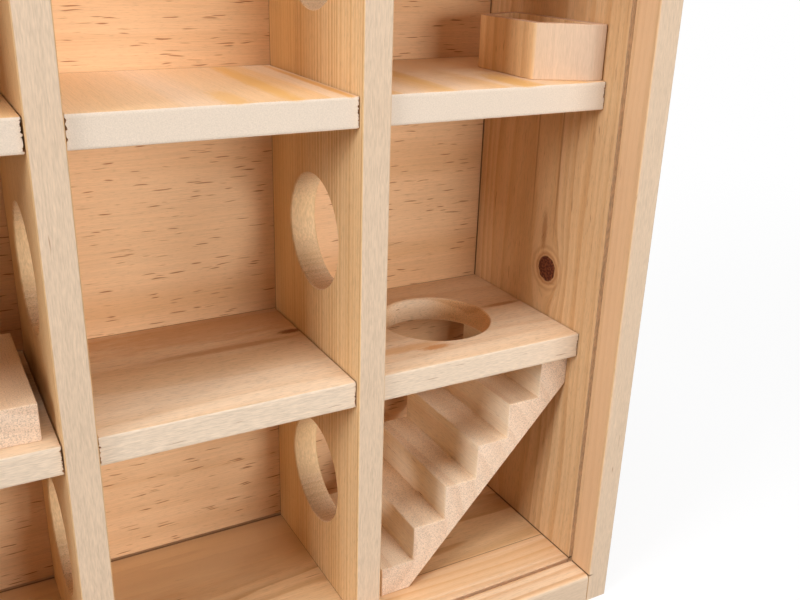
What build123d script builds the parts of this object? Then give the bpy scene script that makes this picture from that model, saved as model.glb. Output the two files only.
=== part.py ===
"""Hamster play tower: pine boards, three columns of rooms on three storeys, open in front, with a way in at the top.

Millimetres, +Z up, front towards -Y. The origin is under the middle of the tower, on the surface
that it stands on.
"""
import os

from build123d import *

os.makedirs("parts", exist_ok=True)

# Boards
board = 12.0  # side panels, dividers, shelves and top boards
floor_thickness = 15.0  # floor board and front sill
back_thickness = 6.0
edge_ease = 0.8  # sanded round on the front edges
hole_ease = 0.5  # sanded bevel on the rims of the passage holes

# Rooms
column_width = 104.0
ground_height = 108.0
storey_height = 104.0
room_depth = 92.0  # divider front to back panel
shelf_setback = 2.5  # shelf front behind the divider front
wall_hole_dia = 50.0
shelf_hole_dia = 53.0

# Front zone of the side panels and the sill, with the groove for a slide-in pane
lip_depth = 13.5  # wood in front of the groove
groove_width = 2.6
groove_depth = 5.0
groove_setback = 7.6  # groove to divider front
sill_overlap = 14.4  # sill under the dividers
sill_nose = 2.0  # round on the sill's top front edge

# Gaps that show as dark lines between the boards
floor_side_gap = 0.4
back_side_gap = 0.5
back_floor_gap = 1.5

# Stairs, each sawn from one block
tread_share = 0.16  # one tread's run along the column width
first_rise = 15.0
riser_count = 5  # risers above the first
stair_inset = 5.6  # divider to the first riser
foot_length = 14.9
stair_end_height = 13.0  # the face against the side panel
stair_headroom = 3.5  # top tread to the shelf above
stair_setback = 9.0  # stair front behind the divider front
stair_depth = 68.5

# Feed dish
dish_width = 28.7
dish_length = 65.0
dish_height = 23.0
dish_setback = 4.6  # dish front behind the divider front
dish_corner_width = 22.0  # the slanted corners, along X and along Y
dish_corner_length = 12.0
dish_wall = 5.0
dish_bottom = 6.0
dish_round = 4.0  # round in the corners of the hollow
dish_wall_clearance = 0.3

# Fasteners
screw_length = 25.0
screw_dia = 3.0
screw_head_dia = 6.0
screw_head_slope = 45.0  # degrees from the screw's axis
dowel_dia = 6.0
dowel_reach = 13.0  # dowel in each shelf
nail_length = 20.0
nail_dia = 1.6
nail_head_dia = 3.2
nail_head_height = 0.8
fastener_clearance = 0.1
fastener_sides = 10  # flats round a fastener and its hole
front_fastener_share = 0.3  # places along the depth of a room
rear_fastener_share = 0.8

# Places that follow from the sizes above
column_count = 3
case_width = column_count * column_width + (column_count + 1) * board
inner_width = case_width - 2 * board
front_zone = lip_depth + groove_width + groove_setback
case_depth = front_zone + room_depth + back_thickness
front = -case_depth / 2
rear = case_depth / 2
divider_front = front + front_zone
back_face = rear - back_thickness
sill_rear = divider_front + sill_overlap
groove_middle = front + lip_depth + groove_width / 2
groove_floor = floor_thickness - groove_depth
room_middle = divider_front + room_depth / 2
shelf_front = divider_front + shelf_setback
tread_run = tread_share * column_width
screw_neck = (screw_head_dia - screw_dia) / 2

lower_shelf_top = floor_thickness + ground_height + board
upper_shelf_top = lower_shelf_top + storey_height + board
top_underside = upper_shelf_top + storey_height
side_height = top_underside + board
top_width = column_width + board  # a top board covers its column and the divider
room_floors = [floor_thickness, lower_shelf_top, upper_shelf_top]
room_heights = [ground_height, storey_height, storey_height]
hole_heights = [low + high / 2 for low, high in zip(room_floors, room_heights)]
shelf_middles = [lower_shelf_top - board / 2, upper_shelf_top - board / 2]
fastener_rows = [divider_front + share * room_depth for share in (front_fastener_share, rear_fastener_share)]

LEFT, RIGHT = -1, 1
stair_storeys = {LEFT: 1, RIGHT: 0}  # the storey that each column's stairs stand on


def column_left(column):
    """X of a column's left wall, columns counted from the left."""
    return -case_width / 2 + board + column * (column_width + board)


divider_middles = [column_left(column) - board / 2 for column in range(1, column_count)]


def save(piece, name):
    """Label a finished piece and write its file."""
    piece.part.label = name
    export_step(piece.part, f"parts/{name}.step")


def stair_top(storey):
    """Height of the top tread of the stairs on a storey."""
    return room_floors[storey] + room_heights[storey] - stair_headroom


def side_screw_seats(side):
    """Where one side panel's screws start on its outer face, each with its axis pointing out."""
    sill_seat = (divider_front + sill_overlap / 2, floor_thickness / 2)
    floor_seat = (fastener_rows[1], floor_thickness / 2)
    heights = [*shelf_middles, side_height - board / 2, stair_top(stair_storeys[side]) - stair_end_height / 2]
    seats = [sill_seat, floor_seat, *[(row, height) for height in heights for row in fastener_rows]]
    outer = side * case_width / 2
    return [Location(Plane((outer, y, z), x_dir=(0, 1, 0), z_dir=(side, 0, 0))) for y, z in seats]


def upright_screw_seats(height, out):
    """Where the screws into the dividers' ends start, on the underside or on the top of the tower."""
    return [
        Location(Plane((x, y, height), x_dir=(1, 0, 0), z_dir=(0, 0, out)))
        for x in divider_middles
        for y in fastener_rows
    ]


floor_screw_seats = upright_screw_seats(0, -1)
top_screw_seats = upright_screw_seats(side_height, 1)
dowel_seats = [
    Location(Plane((x, y, z), x_dir=(0, 1, 0), z_dir=(1, 0, 0)))
    for x in divider_middles
    for z in shelf_middles
    for y in fastener_rows
]
nail_seats = [
    Location(Plane((x, rear, z), x_dir=(1, 0, 0), z_dir=(0, 1, 0)))
    for x in divider_middles
    for z in hole_heights
]


def screw_form(clearance):
    """A countersunk screw, its head at the origin and its end down. Clearance widens it to its hole."""
    with BuildPart() as form:
        with BuildSketch():
            RegularPolygon(screw_head_dia / 2 + clearance, fastener_sides)
        extrude(amount=-screw_neck, taper=screw_head_slope)
        with BuildSketch():
            RegularPolygon(screw_dia / 2 + clearance, fastener_sides)
        extrude(amount=-(screw_length + clearance))
    return form.part


def nail_form(clearance):
    """A flat-headed nail, drawn the same way."""
    with BuildPart() as form:
        with BuildSketch():
            RegularPolygon(nail_head_dia / 2 + clearance, fastener_sides)
        extrude(amount=-(nail_head_height + clearance))
        with BuildSketch():
            RegularPolygon(nail_dia / 2 + clearance, fastener_sides)
        extrude(amount=-(nail_length + clearance))
    return form.part


def dowel_form(clearance):
    """A dowel, drawn about its middle."""
    with BuildPart() as form:
        with BuildSketch():
            RegularPolygon(dowel_dia / 2 + clearance, fastener_sides)
        extrude(amount=board / 2 + dowel_reach + clearance, both=True)
    return form.part


screw_hole = screw_form(fastener_clearance)
nail_hole = nail_form(fastener_clearance)
dowel_hole = dowel_form(fastener_clearance)


def cut_holes(hole, seats):
    """Take one kind of fastener's holes out of a board."""
    with Locations(*seats):
        add(hole, mode=Mode.SUBTRACT)


def ease_hole_rims(piece):
    """Bevel the rims of the widest round holes of a board."""
    rims = piece.edges().filter_by(GeomType.CIRCLE).group_by(SortBy.RADIUS)[-1]
    chamfer(rims, length=hole_ease)


# Side panels, each with the pane's groove
for side, name in ((LEFT, "left_side_panel"), (RIGHT, "right_side_panel")):
    inner_plane = Plane.YZ.offset(side * inner_width / 2)
    with BuildPart() as side_panel:
        with BuildSketch(inner_plane):
            with Locations((0, side_height / 2)):
                Rectangle(case_depth, side_height)
        extrude(amount=side * board)
        fillet(side_panel.edges().filter_by(Axis.Z).group_by(Axis.Y)[0], radius=edge_ease)
        with BuildSketch(inner_plane):
            with Locations((groove_middle, (groove_floor + side_height) / 2)):
                Rectangle(groove_width, side_height - groove_floor)
        extrude(amount=side * groove_depth, mode=Mode.SUBTRACT)
        cut_holes(screw_hole, side_screw_seats(side))
    save(side_panel, name)

# Dividers, with a passage on each storey
for left_column, name in enumerate(("left_divider", "right_divider")):
    with BuildPart() as divider:
        with BuildSketch(Plane.YZ.offset(column_left(left_column) + column_width)):
            with Locations((room_middle, (floor_thickness + top_underside) / 2)):
                Rectangle(room_depth, top_underside - floor_thickness)
            with Locations(*[(room_middle, height) for height in hole_heights]):
                Circle(wall_hole_dia / 2, mode=Mode.SUBTRACT)
        extrude(amount=board)
        ease_hole_rims(divider)
        fillet(divider.edges().filter_by(Axis.Z).group_by(Axis.Y)[0], radius=edge_ease)
        cut_holes(dowel_hole, dowel_seats)
        cut_holes(screw_hole, floor_screw_seats + top_screw_seats)
        cut_holes(nail_hole, nail_seats)
    save(divider, name)

# Shelves: two have a passage, over the stairs
shelf_columns = ((0, "left"), (1, "middle"), (2, "right"))
shelf_storeys = ((lower_shelf_top, "lower"), (upper_shelf_top, "upper"))
shelves_with_hole = ("lower_right_shelf", "upper_left_shelf")
end_screw_seats = side_screw_seats(LEFT) + side_screw_seats(RIGHT)
for shelf_top, storey_name in shelf_storeys:
    for column, column_name in shelf_columns:
        name = f"{storey_name}_{column_name}_shelf"
        with BuildPart() as shelf:
            with BuildSketch(Plane.XY.offset(shelf_top - board)):
                with Locations((column_left(column) + column_width / 2, (shelf_front + back_face) / 2)):
                    Rectangle(column_width, back_face - shelf_front)
                    if name in shelves_with_hole:
                        Circle(shelf_hole_dia / 2, mode=Mode.SUBTRACT)
            extrude(amount=board)
            if name in shelves_with_hole:
                ease_hole_rims(shelf)
            fillet(shelf.edges().filter_by(Axis.X).group_by(Axis.Y)[0], radius=edge_ease)
            cut_holes(dowel_hole, dowel_seats)
            cut_holes(screw_hole, end_screw_seats)
        save(shelf, name)

# Floor board, from the sill to the rear
base_width = inner_width - 2 * floor_side_gap
with BuildPart() as floor_board:
    with BuildSketch():
        with Locations((0, (sill_rear + rear) / 2)):
            Rectangle(base_width, rear - sill_rear)
    extrude(amount=floor_thickness)
    cut_holes(screw_hole, floor_screw_seats + end_screw_seats)
save(floor_board, "floor_board")

# Front sill, flush with the side panels' front edges, with the pane's groove
with BuildPart() as front_sill:
    with BuildSketch():
        with Locations((0, (front + sill_rear) / 2)):
            Rectangle(base_width, sill_rear - front)
    extrude(amount=floor_thickness)
    fillet(front_sill.edges().filter_by(Axis.X).group_by(Axis.Y)[0].sort_by(Axis.Z)[-1], radius=sill_nose)
    with BuildSketch(Plane.XY.offset(floor_thickness)):
        with Locations((0, groove_middle)):
            Rectangle(base_width, groove_width)
    extrude(amount=-groove_depth, mode=Mode.SUBTRACT)
    cut_holes(screw_hole, end_screw_seats)
save(front_sill, "front_sill")

# Top boards over the side columns, behind the grooves; the middle column is the way in from above
for side, name in ((LEFT, "left_top_board"), (RIGHT, "right_top_board")):
    with BuildPart() as top_board:
        with BuildSketch(Plane.XY.offset(top_underside)):
            with Locations((side * (inner_width - top_width) / 2, (divider_front + rear) / 2)):
                Rectangle(top_width, rear - divider_front)
        extrude(amount=board)
        fillet(top_board.edges().filter_by(Axis.X).group_by(Axis.Y)[0], radius=edge_ease)
        cut_holes(screw_hole, top_screw_seats + end_screw_seats)
    save(top_board, name)

# Back panel, nailed to the dividers
with BuildPart() as back_panel:
    with BuildSketch(Plane.XZ.offset(-back_face)):
        with Locations((0, (floor_thickness + back_floor_gap + top_underside) / 2)):
            Rectangle(inner_width - 2 * back_side_gap, top_underside - floor_thickness - back_floor_gap)
    extrude(amount=-back_thickness)
    cut_holes(nail_hole, nail_seats)
save(back_panel, "back_panel")

# Stairs: the foot is by the divider, and the top end is screwed to the side panel
for side, column, name in ((LEFT, 0, "left_stairs"), (RIGHT, column_count - 1, "right_stairs")):
    storey = stair_storeys[side]
    climb = stair_top(storey) - room_floors[storey]
    rise = (climb - first_rise) / riser_count
    profile = [(stair_inset, 0)]
    for step in range(riser_count):
        start = stair_inset + step * tread_run
        height = first_rise + step * rise
        profile += [(start, height), (start + tread_run, height)]
    profile += [(stair_inset + riser_count * tread_run, climb), (column_width, climb)]
    profile += [(column_width, climb - stair_end_height), (stair_inset + foot_length, 0)]
    foot_wall = side * (inner_width / 2 - column_width)
    with BuildPart() as stairs:
        with BuildSketch(Plane.XZ.offset(-(divider_front + stair_setback))):
            with BuildLine():
                Polyline(*[(foot_wall + side * x, room_floors[storey] + z) for x, z in profile], close=True)
            make_face()
        extrude(amount=-stair_depth)
        cut_holes(screw_hole, side_screw_seats(side))
    save(stairs, name)

# Feed dish: a loose block with slanted corners, hollowed from the top, by the right side panel
dish_right = inner_width / 2 - dish_wall_clearance
dish_left = dish_right - dish_width
dish_front = divider_front + dish_setback
dish_rear = dish_front + dish_length
dish_corner = dish_left + dish_corner_width
dish_outline = [
    (dish_right, dish_front),
    (dish_corner, dish_front),
    (dish_left, dish_front + dish_corner_length),
    (dish_left, dish_rear - dish_corner_length),
    (dish_corner, dish_rear),
    (dish_right, dish_rear),
]
hollow_right = dish_right - dish_wall
hollow_left = dish_left + dish_wall
hollow_front = dish_front + dish_wall
hollow_rear = dish_rear - dish_wall
hollow_slant = (hollow_right - hollow_left) * dish_corner_length / dish_corner_width
hollow_outline = [
    (hollow_right, hollow_front),
    (hollow_left, hollow_front + hollow_slant),
    (hollow_left, hollow_rear - hollow_slant),
    (hollow_right, hollow_rear),
]
with BuildPart() as feed_dish:
    with BuildSketch(Plane.XY.offset(upper_shelf_top)):
        with BuildLine():
            Polyline(*dish_outline, close=True)
        make_face()
    extrude(amount=dish_height)
    fillet(feed_dish.edges().filter_by(Axis.Z), radius=edge_ease)
    with BuildSketch(Plane.XY.offset(upper_shelf_top + dish_height)):
        with BuildLine():
            Polyline(*hollow_outline, close=True)
        make_face()
        fillet(vertices(), radius=dish_round)
    extrude(amount=dish_bottom - dish_height, mode=Mode.SUBTRACT)
save(feed_dish, "feed_dish")

# One fastener of each kind
screw = screw_form(0)
nail = nail_form(0)
dowel = dowel_form(0)

# The fasteners, one group for each board or row that they hold
for fastener, seats, name in (
    (screw, side_screw_seats(LEFT), "left_side_screws"),
    (screw, side_screw_seats(RIGHT), "right_side_screws"),
    (screw, floor_screw_seats, "floor_screws"),
    (screw, top_screw_seats, "top_screws"),
    (dowel, dowel_seats, "shelf_dowels"),
    (nail, nail_seats, "back_nails"),
):
    with BuildPart() as group:
        with Locations(*seats):
            add(fastener)
    save(group, name)
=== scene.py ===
"""Looks of the hamster play tower: planed pine boards, sawn stair blocks, a hollowed feed dish and its fasteners."""
import math
import random

import bmesh
import bpy
from mathutils import Matrix, Vector


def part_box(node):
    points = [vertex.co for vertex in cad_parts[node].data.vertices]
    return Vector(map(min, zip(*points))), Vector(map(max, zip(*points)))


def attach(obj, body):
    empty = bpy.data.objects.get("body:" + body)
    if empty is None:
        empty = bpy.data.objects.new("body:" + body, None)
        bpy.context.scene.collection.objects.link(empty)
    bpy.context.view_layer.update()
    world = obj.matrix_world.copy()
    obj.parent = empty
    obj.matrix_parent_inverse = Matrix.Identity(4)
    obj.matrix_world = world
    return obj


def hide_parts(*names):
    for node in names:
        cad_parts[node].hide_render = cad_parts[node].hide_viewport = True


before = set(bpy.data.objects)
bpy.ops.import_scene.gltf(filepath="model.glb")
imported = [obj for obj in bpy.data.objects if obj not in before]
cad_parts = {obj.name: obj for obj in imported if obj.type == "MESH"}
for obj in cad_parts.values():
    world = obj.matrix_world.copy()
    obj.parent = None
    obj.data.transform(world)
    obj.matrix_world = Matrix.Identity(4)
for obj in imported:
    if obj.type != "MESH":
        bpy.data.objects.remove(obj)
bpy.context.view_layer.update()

bl_info = {
    "name": "Hamster play tower",
    "version": (1, 0, 0),
    "blender": (4, 5, 0),
    "location": "3D View > Sidebar > Tower",
    "description": "Dresses the packed play tower in pine and sets the studio round it",
    "category": "Object",
}

MM = 0.001
CLOSE = 1e-6
SHARP = 0.5  # angle of an edge
FAR = 900.0  # past the whole tower, in millimetres
GRAIN_TURNS = {
    "X": (0.0, -math.pi / 2, 0.0),
    "Y": (math.pi / 2, 0.0, 0.0),
    "Z": (0.0, 0.0, 0.0),
}
GRAIN_AXES = {"X": (1.0, 0.0, 0.0), "Y": (0.0, 1.0, 0.0), "Z": (0.0, 0.0, 1.0)}


def srgb(red, green, blue):
    """A colour as a paint chart gives it, 0 to 255, as the linear values that a shader takes."""
    def linear(value):
        value /= 255.0
        return value / 12.92 if value <= 0.04045 else ((value + 0.055) / 1.055) ** 2.4
    return (linear(red), linear(green), linear(blue), 1.0)


# Node helpers

def put(tree, kind, **settings):
    """Add a node and set its options."""
    node = tree.nodes.new(kind)
    for option, value in settings.items():
        setattr(node, option, value)
    return node


def feed(tree, socket, value):
    """Join an input to another node's output, or set its value."""
    if isinstance(value, bpy.types.NodeSocket):
        tree.links.new(value, socket)
    else:
        socket.default_value = value


def calc(tree, operation, *values, clamp=False):
    """One sum on numbers."""
    node = put(tree, "ShaderNodeMath", operation=operation, use_clamp=clamp)
    for socket, value in zip(node.inputs, values):
        feed(tree, socket, value)
    return node.outputs[0]


def vector_calc(tree, operation, *values):
    """One sum on vectors."""
    node = put(tree, "ShaderNodeVectorMath", operation=operation)
    for socket, value in zip(node.inputs, values):
        feed(tree, socket, value)
    return node.outputs["Value"] if operation in ("DOT_PRODUCT", "LENGTH") else node.outputs["Vector"]


def scaled(tree, colour, factor):
    """A colour made lighter or darker."""
    node = put(tree, "ShaderNodeVectorMath", operation="SCALE")
    feed(tree, node.inputs[0], colour)
    feed(tree, node.inputs["Scale"], factor)
    return node.outputs["Vector"]


def spread(tree, vector, across, along):
    """Coordinates for a pattern whose spots are so many millimetres across and along the grain."""
    return vector_calc(tree, "MULTIPLY", vector, (1 / across, 1 / across, 1 / along))


def noise(tree, vector, detail=2.0, roughness=0.5):
    """A cloudy value round one half."""
    node = put(tree, "ShaderNodeTexNoise")
    feed(tree, node.inputs["Vector"], vector)
    node.inputs["Scale"].default_value = 1.0
    node.inputs["Detail"].default_value = detail
    node.inputs["Roughness"].default_value = roughness
    return node.outputs[0]


def between(tree, value, low, high, to_low=0.0, to_high=1.0):
    """A smooth step from one value to another."""
    node = put(tree, "ShaderNodeMapRange", interpolation_type="SMOOTHSTEP")
    for socket, given in zip(node.inputs, (value, low, high, to_low, to_high)):
        feed(tree, socket, given)
    return node.outputs[0]


def blend(tree, factor, first, second):
    """A mix of two colours."""
    node = put(tree, "ShaderNodeMix", data_type="RGBA")
    feed(tree, node.inputs[0], factor)
    feed(tree, node.inputs[6], first)
    feed(tree, node.inputs[7], second)
    return node.outputs[2]


def dashes(tree, place, across, along, size, share):
    """Separate dashes along the grain: one to a cell of so many millimetres, in a share of the cells."""
    cells = put(tree, "ShaderNodeTexVoronoi", feature="F1", voronoi_dimensions="3D")
    feed(tree, cells.inputs["Vector"], spread(tree, place, across, along))
    cells.inputs["Scale"].default_value = 1.0
    pick = put(tree, "ShaderNodeSeparateColor")
    feed(tree, pick.inputs[0], cells.outputs["Color"])
    kept = calc(tree, "LESS_THAN", pick.outputs[0], share)
    body = between(tree, cells.outputs["Distance"], 0.45 * size, size, 1.0, 0.0)
    return calc(tree, "MULTIPLY", calc(tree, "MULTIPLY", body, kept),
                calc(tree, "MULTIPLY_ADD", pick.outputs[1], 0.6, 0.4))


# Pine

PINE_NUMBERS = ("Ring spacing", "Ring contrast", "Wander", "Flecks", "Lines", "Tone", "Pores", "End", "Front")
PINE_COLOURS = ("Pale", "Deep", "Streak", "End pale", "End deep", "Front pale")


def pine_group():
    """Solid pine, its grain along Z and its pith on the Z axis, in millimetres."""
    group = bpy.data.node_groups.get("pine_wood")
    if group:
        return group
    tree = bpy.data.node_groups.new("pine_wood", "ShaderNodeTree")
    sockets = [("INPUT", "Vector", "NodeSocketVector"), ("OUTPUT", "Color", "NodeSocketColor")]
    sockets += [("INPUT", name, "NodeSocketFloat") for name in PINE_NUMBERS]
    sockets += [("INPUT", name, "NodeSocketColor") for name in PINE_COLOURS]
    sockets += [("OUTPUT", name, "NodeSocketFloat") for name in ("Roughness", "Height")]
    for way, name, kind in sockets:
        tree.interface.new_socket(name, in_out=way, socket_type=kind)
    given = put(tree, "NodeGroupInput").outputs
    place = given["Vector"]
    split = put(tree, "ShaderNodeSeparateXYZ")
    feed(tree, split.inputs[0], place)

    # Growth rings, which wander along the board
    drift = calc(tree, "SUBTRACT", noise(tree, spread(tree, place, 42, 210), 1.0), 0.5)
    ripple = calc(tree, "SUBTRACT", noise(tree, spread(tree, place, 8, 70), 1.0), 0.5)
    bend = calc(tree, "MULTIPLY_ADD", ripple, 0.35, calc(tree, "MULTIPLY", drift, 2.2))
    reach = calc(tree, "SQRT", calc(tree, "ADD", calc(tree, "POWER", split.outputs[0], 2.0),
                                    calc(tree, "POWER", split.outputs[1], 2.0)))
    radius = calc(tree, "MULTIPLY_ADD", bend, given["Wander"], reach)
    years = calc(tree, "DIVIDE", radius, given["Ring spacing"])
    uneven = put(tree, "ShaderNodeTexNoise", noise_dimensions="1D")
    feed(tree, uneven.inputs["W"], calc(tree, "MULTIPLY", years, 0.37))
    uneven.inputs["Scale"].default_value = 1.0
    years = calc(tree, "MULTIPLY_ADD", uneven.outputs[0], 1.7, years)
    share = calc(tree, "FRACT", years)
    late = calc(tree, "MULTIPLY", between(tree, share, 0.2, 0.86), between(tree, share, 0.87, 1.0, 1.0, 0.0))
    year_tint = put(tree, "ShaderNodeTexWhiteNoise", noise_dimensions="1D")
    feed(tree, year_tint.inputs["W"], calc(tree, "FLOOR", years))
    late = calc(tree, "MULTIPLY", late, calc(tree, "MULTIPLY_ADD", year_tint.outputs[0], 0.7, 0.3))

    # Fibres, pores and resin flecks
    fibre = noise(tree, spread(tree, place, 0.6, 26), 3.0, 0.62)
    pore = noise(tree, spread(tree, place, 0.42, 3.6), 1.0)
    cloud = noise(tree, spread(tree, place, 26, 260), 1.0)
    speck = noise(tree, spread(tree, place, 0.5, 0.5), 1.5)
    ragged = vector_calc(tree, "MULTIPLY_ADD", put_noise_vector(tree, place), (1.3, 1.3, 6.0), place)
    fleck = dashes(tree, ragged, 1.25, 18.0, 0.27, given["Flecks"])
    line = dashes(tree, ragged, 2.4, 46.0, 0.13, given["Lines"])
    fleck = calc(tree, "MAXIMUM", fleck, calc(tree, "MULTIPLY", line, 0.8))

    # Colour along the grain
    tint = blend(tree, calc(tree, "MULTIPLY", late, given["Ring contrast"]), given["Pale"], given["Deep"])
    tint = blend(tree, calc(tree, "MULTIPLY", between(tree, cloud, 0.42, 0.72), given["Tone"]), tint, given["Deep"])
    shade = calc(tree, "MULTIPLY_ADD", calc(tree, "SUBTRACT", fibre, 0.5), 0.34, 1.0)
    dots = calc(tree, "MULTIPLY", between(tree, pore, 0.55, 0.7), given["Pores"])
    bright = calc(tree, "MULTIPLY", between(tree, pore, 0.45, 0.3), given["Pores"])
    shade = calc(tree, "MULTIPLY", shade, calc(tree, "MULTIPLY_ADD", dots, -0.36, 1.0))
    shade = calc(tree, "MULTIPLY_ADD", bright, 0.1, shade)
    tint = scaled(tree, tint, shade)

    # A planed front edge, paler than the faces
    mottle = calc(tree, "MULTIPLY", calc(tree, "SUBTRACT", pore, 0.5), given["Pores"])
    mottle = calc(tree, "MULTIPLY_ADD", mottle, -0.9, 1.0)
    mottle = calc(tree, "MULTIPLY_ADD", calc(tree, "SUBTRACT", fibre, 0.5), 0.22, mottle)
    tint = blend(tree, given["Front"], tint, scaled(tree, given["Front pale"], mottle))
    tint = blend(tree, calc(tree, "MULTIPLY", fleck, 0.85), tint, given["Streak"])

    # End grain: specks of open pores between pale fibre ends
    open_pore = between(tree, speck, 0.52, 0.66)
    fibre_end = between(tree, speck, 0.46, 0.34)
    end_tint = blend(tree, calc(tree, "MULTIPLY_ADD", late, 0.45, calc(tree, "MULTIPLY", cloud, 0.3)),
                     given["End pale"], given["End deep"])
    end_shade = calc(tree, "MULTIPLY_ADD", open_pore, -0.25, calc(tree, "MULTIPLY_ADD", fibre_end, 0.13, 1.0))
    tint = blend(tree, given["End"], tint, scaled(tree, end_tint, end_shade))

    rough = calc(tree, "MULTIPLY_ADD", late, -0.1, calc(tree, "MULTIPLY_ADD", fibre, 0.2, 0.55))
    rough = calc(tree, "MULTIPLY_ADD", given["End"], 0.2, rough, clamp=True)
    height = calc(tree, "MULTIPLY_ADD", late, 0.25, fibre)
    height = calc(tree, "MULTIPLY_ADD", dots, -0.6, height)
    height = calc(tree, "MULTIPLY_ADD", fleck, -0.4, height)
    pits = calc(tree, "MULTIPLY", open_pore, given["End"])
    height = calc(tree, "MULTIPLY_ADD", pits, -1.4, height)
    out = put(tree, "NodeGroupOutput")
    for socket, value in zip(out.inputs, (tint, rough, height)):
        feed(tree, socket, value)
    return tree


def put_noise_vector(tree, place):
    """A small random shift, round zero."""
    node = put(tree, "ShaderNodeTexNoise")
    feed(tree, node.inputs["Vector"], spread(tree, place, 3.0, 9.0))
    node.inputs["Scale"].default_value = 1.0
    node.inputs["Detail"].default_value = 0.0
    return vector_calc(tree, "SUBTRACT", node.outputs["Color"], (0.5, 0.5, 0.5))


def pine(name, grain, offset, look, front=None, upright=None, knot=None, marks=(), lamella=None, specks=0.0):
    """A board's own pine. The offset puts the heart of the log beside the board, in millimetres.

    Specks is the share of end grain on faces that were sawn rough.
    """
    material = bpy.data.materials.new(name)
    material.use_nodes = True
    tree = material.node_tree
    tree.nodes.clear()
    measure = put(tree, "ShaderNodeMapping")
    feed(tree, measure.inputs["Vector"], put(tree, "ShaderNodeTexCoord").outputs["Object"])
    measure.inputs["Scale"].default_value = (1 / MM, 1 / MM, 1 / MM)
    spot = measure.outputs[0]
    normal = put(tree, "ShaderNodeNewGeometry").outputs["Normal"]
    turn = put(tree, "ShaderNodeMapping")
    feed(tree, turn.inputs["Vector"], spot)
    turn.inputs["Rotation"].default_value = GRAIN_TURNS[grain]
    place = turn.outputs[0]
    heart = None
    if knot:
        place, heart, collar = knot_flow(tree, place, knot)
    place = vector_calc(tree, "ADD", place, offset)
    if lamella:
        place = glued_strips(tree, spot, place, lamella)
    wood = put(tree, "ShaderNodeGroup", node_tree=pine_group())
    feed(tree, wood.inputs["Vector"], place)
    for socket, value in look.items():
        wood.inputs[socket].default_value = value
    across = calc(tree, "ABSOLUTE", vector_calc(tree, "DOT_PRODUCT", normal, GRAIN_AXES[grain]))
    feed(tree, wood.inputs["End"], between(tree, across, 0.3, 0.8, specks))
    if upright is not None:
        flat = calc(tree, "ABSOLUTE", vector_calc(tree, "DOT_PRODUCT", normal, (1.0, 0.0, 0.0)))
        cut = between(tree, flat, 0.3, 0.8, 1.0, 0.0)
        feed(tree, wood.inputs["Front"], cut)
        inside = between(tree, vector_calc(tree, "DOT_PRODUCT", spot, (0.0, 1.0, 0.0)), upright + 2.0, upright + 4.0)
        curl = noise(tree, spread(tree, place, 0.8, 3.0), 3.0, 0.6)
        bored = scaled(tree, srgb(246, 212, 170)[:3], between(tree, curl, 0.36, 0.64, 1.06, 0.82))
        feed(tree, wood.inputs["Front pale"], blend(tree, inside, look["Front pale"], bored))
    if front is not None:
        facing = between(tree, vector_calc(tree, "DOT_PRODUCT", normal, (0.0, -1.0, 0.0)), 0.45, 0.95)
        depth = vector_calc(tree, "DOT_PRODUCT", spot, (0.0, 1.0, 0.0))
        near = between(tree, depth, front + 1.5, front + 3.0, 1.0, 0.0)
        edge = calc(tree, "MULTIPLY", facing, near)
        feed(tree, wood.inputs["Front"], edge)
        if grain == "Y":
            feed(tree, wood.inputs["End"], calc(tree, "MULTIPLY", between(tree, across, 0.3, 0.8),
                                                calc(tree, "SUBTRACT", 1.0, edge)))
    tint = wood.outputs["Color"]
    for middle, size, colour, strength in marks:
        tint = colour_patch(tree, spot, tint, middle, size, colour, strength)
    if heart is not None:
        tint = blend(tree, collar, tint, srgb(158, 98, 50))
        rings = noise(tree, spread(tree, turn.outputs[0], 1.1, 1.1), 3.0)
        core = blend(tree, between(tree, rings, 0.4, 0.66), srgb(74, 28, 12), srgb(124, 66, 40))
        tint = blend(tree, heart, tint, core)
    skin = put(tree, "ShaderNodeBsdfPrincipled")
    feed(tree, skin.inputs["Base Color"], tint)
    feed(tree, skin.inputs["Roughness"], wood.outputs["Roughness"])
    skin.inputs["Specular IOR Level"].default_value = 0.3
    bump = put(tree, "ShaderNodeBump")
    bump.inputs["Strength"].default_value = 0.4
    bump.inputs["Distance"].default_value = 0.25 * MM
    feed(tree, bump.inputs["Height"], wood.outputs["Height"])
    feed(tree, skin.inputs["Normal"], bump.outputs[0])
    out = put(tree, "ShaderNodeOutputMaterial")
    feed(tree, out.inputs["Surface"], skin.outputs[0])
    return material


def colour_patch(tree, spot, tint, middle, size, colour, strength):
    """A patch of colour with feathered sides, its middle and reach in millimetres: a flame or streak in a board's
    grain, and also painted shade and painted light.
    """
    away = vector_calc(tree, "DIVIDE", vector_calc(tree, "SUBTRACT", spot, middle), size)
    stretch = tuple(6.0 / value for value in size)
    feather = noise(tree, vector_calc(tree, "MULTIPLY", spot, stretch), 4.0, 0.65)
    far = calc(tree, "MULTIPLY_ADD", calc(tree, "SUBTRACT", feather, 0.5), 1.1, vector_calc(tree, "LENGTH", away))
    return blend(tree, between(tree, far, 0.35, 1.0, strength, 0.0), tint, srgb(*colour))


def glued_strips(tree, spot, place, lamella):
    """Wood that changes from strip to strip, as in a board glued up edge to edge."""
    width, start = lamella
    depth = vector_calc(tree, "DOT_PRODUCT", spot, (0.0, 1.0 / width, 0.0))
    strip = calc(tree, "FLOOR", calc(tree, "SUBTRACT", depth, start / width))
    jump = put(tree, "ShaderNodeTexWhiteNoise", noise_dimensions="1D")
    feed(tree, jump.inputs["W"], strip)
    return vector_calc(tree, "MULTIPLY_ADD", jump.outputs["Color"], (60.0, 90.0, 600.0), place)


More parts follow.
